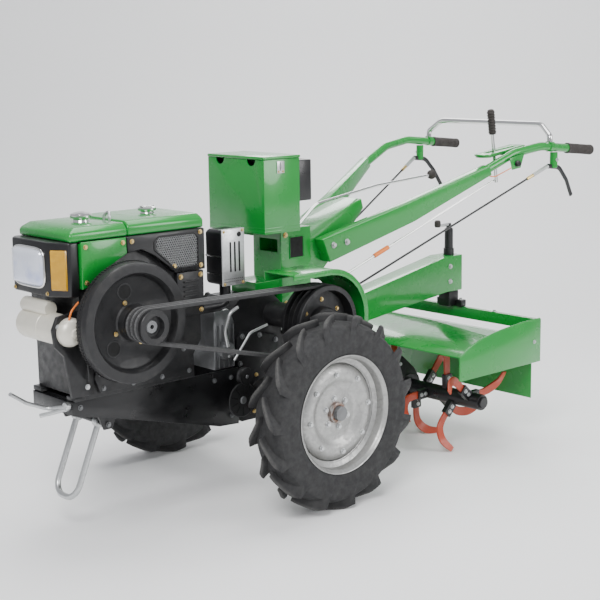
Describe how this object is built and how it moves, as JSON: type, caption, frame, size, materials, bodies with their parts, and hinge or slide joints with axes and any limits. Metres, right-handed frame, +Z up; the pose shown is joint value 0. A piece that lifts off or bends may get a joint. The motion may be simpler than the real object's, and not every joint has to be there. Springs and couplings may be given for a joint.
{
  "type": "walking tractor with rotary tiller",
  "caption": "Two-wheeled walking tractor with a front diesel engine, belt drive, long handles and a rear rotary tiller.",
  "frame": {"origin": "on the ground under the middle of the machine's length, in the mid plane of the wheels", "axes": "+X forward to the headlight, +Y to the flywheel side, +Z up"},
  "size_m": [2.2693, 0.95, 1.152],
  "materials": {
    "green_paint": "glossy enamel",
    "black_paint": "semi-gloss black paint",
    "engine_black": "black painted casting",
    "cast_black": "black painted casting",
    "cast_grey": "bare casting",
    "galvanised": "galvanised",
    "chrome": "bright chrome",
    "tyre_rubber": "rubber",
    "soft_rubber": "rubber",
    "tank_green": "glossy enamel",
    "lamp_black": "moulded",
    "lamp_glass": "clear lens",
    "starter_paint": "cream paint",
    "tine_paint": "orange paint"
  },
  "bodies": {
    "machine": {"chassis_frame": "black_paint", "left_engine_rail": "black_paint", "right_engine_rail": "black_paint", "stand_lever": "galvanised", "engine_block": "engine_black", "fuel_tank": "tank_green", "radiator_cover": "tank_green", "fuel_cap": "chrome", "radiator_cap": "chrome", "side_panel": "tank_green", "grille_panel": "lamp_black", "headlight_housing": "lamp_black", "headlight_lens": "lamp_glass", "starter_bracket": "cast_grey", "starter_motor": "starter_paint", "muffler": "black_paint", "muffler_shield": "galvanised", "exhaust_pipe": "black_paint", "air_cleaner": "lamp_black", "air_inlet_pipe": "black_paint", "drive_belts": "soft_rubber", "belt_cover": "green_paint", "gearbox": "cast_black", "clutch_case": "cast_grey", "left_axle_housing": "cast_black", "right_axle_housing": "cast_black", "toolbox": "green_paint", "rear_pocket": "lamp_black", "handle_column": "tank_green", "handle_base": "tank_green", "left_handle_arm": "green_paint", "right_handle_arm": "green_paint", "left_grip": "soft_rubber", "right_grip": "soft_rubber", "guard_bar": "chrome", "lever_gate": "green_paint", "clutch_lever": "galvanised", "clutch_rod": "chrome", "left_steering_lever": "cast_grey", "right_steering_lever": "cast_grey", "tiller_gear_case": "cast_black", "tiller_boom": "green_paint", "depth_column": "black_paint", "tiller_hood": "green_paint"},
    "left_wheel": {"left_tyre": "tyre_rubber", "left_rim": "galvanised", "left_axle": "cast_grey"},
    "right_wheel": {"right_tyre": "tyre_rubber", "right_rim": "galvanised", "right_axle": "cast_grey"},
    "flywheel": {"flywheel": "cast_black", "crank_pulley": "cast_black"},
    "clutch_pulley": {"clutch_pulley": "cast_black"},
    "rotor": {"rotor_shaft": "black_paint", "left_rotor": "tine_paint", "right_rotor": "tine_paint"},
    "front_stand": {"front_stand": "galvanised"},
    "toolbox_lid": {"toolbox_lid": "green_paint"},
    "rear_flap": {"rear_flap": "green_paint"}
  },
  "joints": [
    {"name": "left_wheel_turn", "type": "hinge", "parent": "machine", "child": "left_wheel", "pos_m": [0.2672, 0.415, 0.295], "axis": [0, 1, 0], "continuous": true},
    {"name": "right_wheel_turn", "type": "hinge", "parent": "machine", "child": "right_wheel", "pos_m": [0.2672, -0.415, 0.295], "axis": [0, 1, 0], "continuous": true},
    {"name": "flywheel_turn", "type": "hinge", "parent": "machine", "child": "flywheel", "pos_m": [0.8452, 0.25, 0.624], "axis": [0, 1, 0], "continuous": true},
    {"name": "clutch_pulley_turn", "type": "hinge", "parent": "machine", "child": "clutch_pulley", "pos_m": [0.2012, 0.29, 0.538], "axis": [0, 1, 0], "continuous": true},
    {"name": "rotor_turn", "type": "hinge", "parent": "machine", "child": "rotor", "pos_m": [-0.4698, 0, 0.17488], "axis": [0, 1, 0], "continuous": true},
    {"name": "front_stand_fold", "type": "hinge", "parent": "machine", "child": "front_stand", "pos_m": [0.8562, 0, 0.311], "axis": [0, 1, 0], "range_deg": [0, 70]},
    {"name": "toolbox_lid_hinge", "type": "hinge", "parent": "machine", "child": "toolbox_lid", "pos_m": [0.2, -0.135, 1.0283], "axis": [1, 0, 0], "range_deg": [0, 95]},
    {"name": "rear_flap_hinge", "type": "hinge", "parent": "machine", "child": "rear_flap", "pos_m": [-0.7188, 0, 0.35], "axis": [0, 1, 0], "range_deg": [0, 75]}
  ],
  "couplings": [
    {"joint": "clutch_pulley_turn", "follows": "flywheel_turn", "ratio": 0.3846}
  ]
}
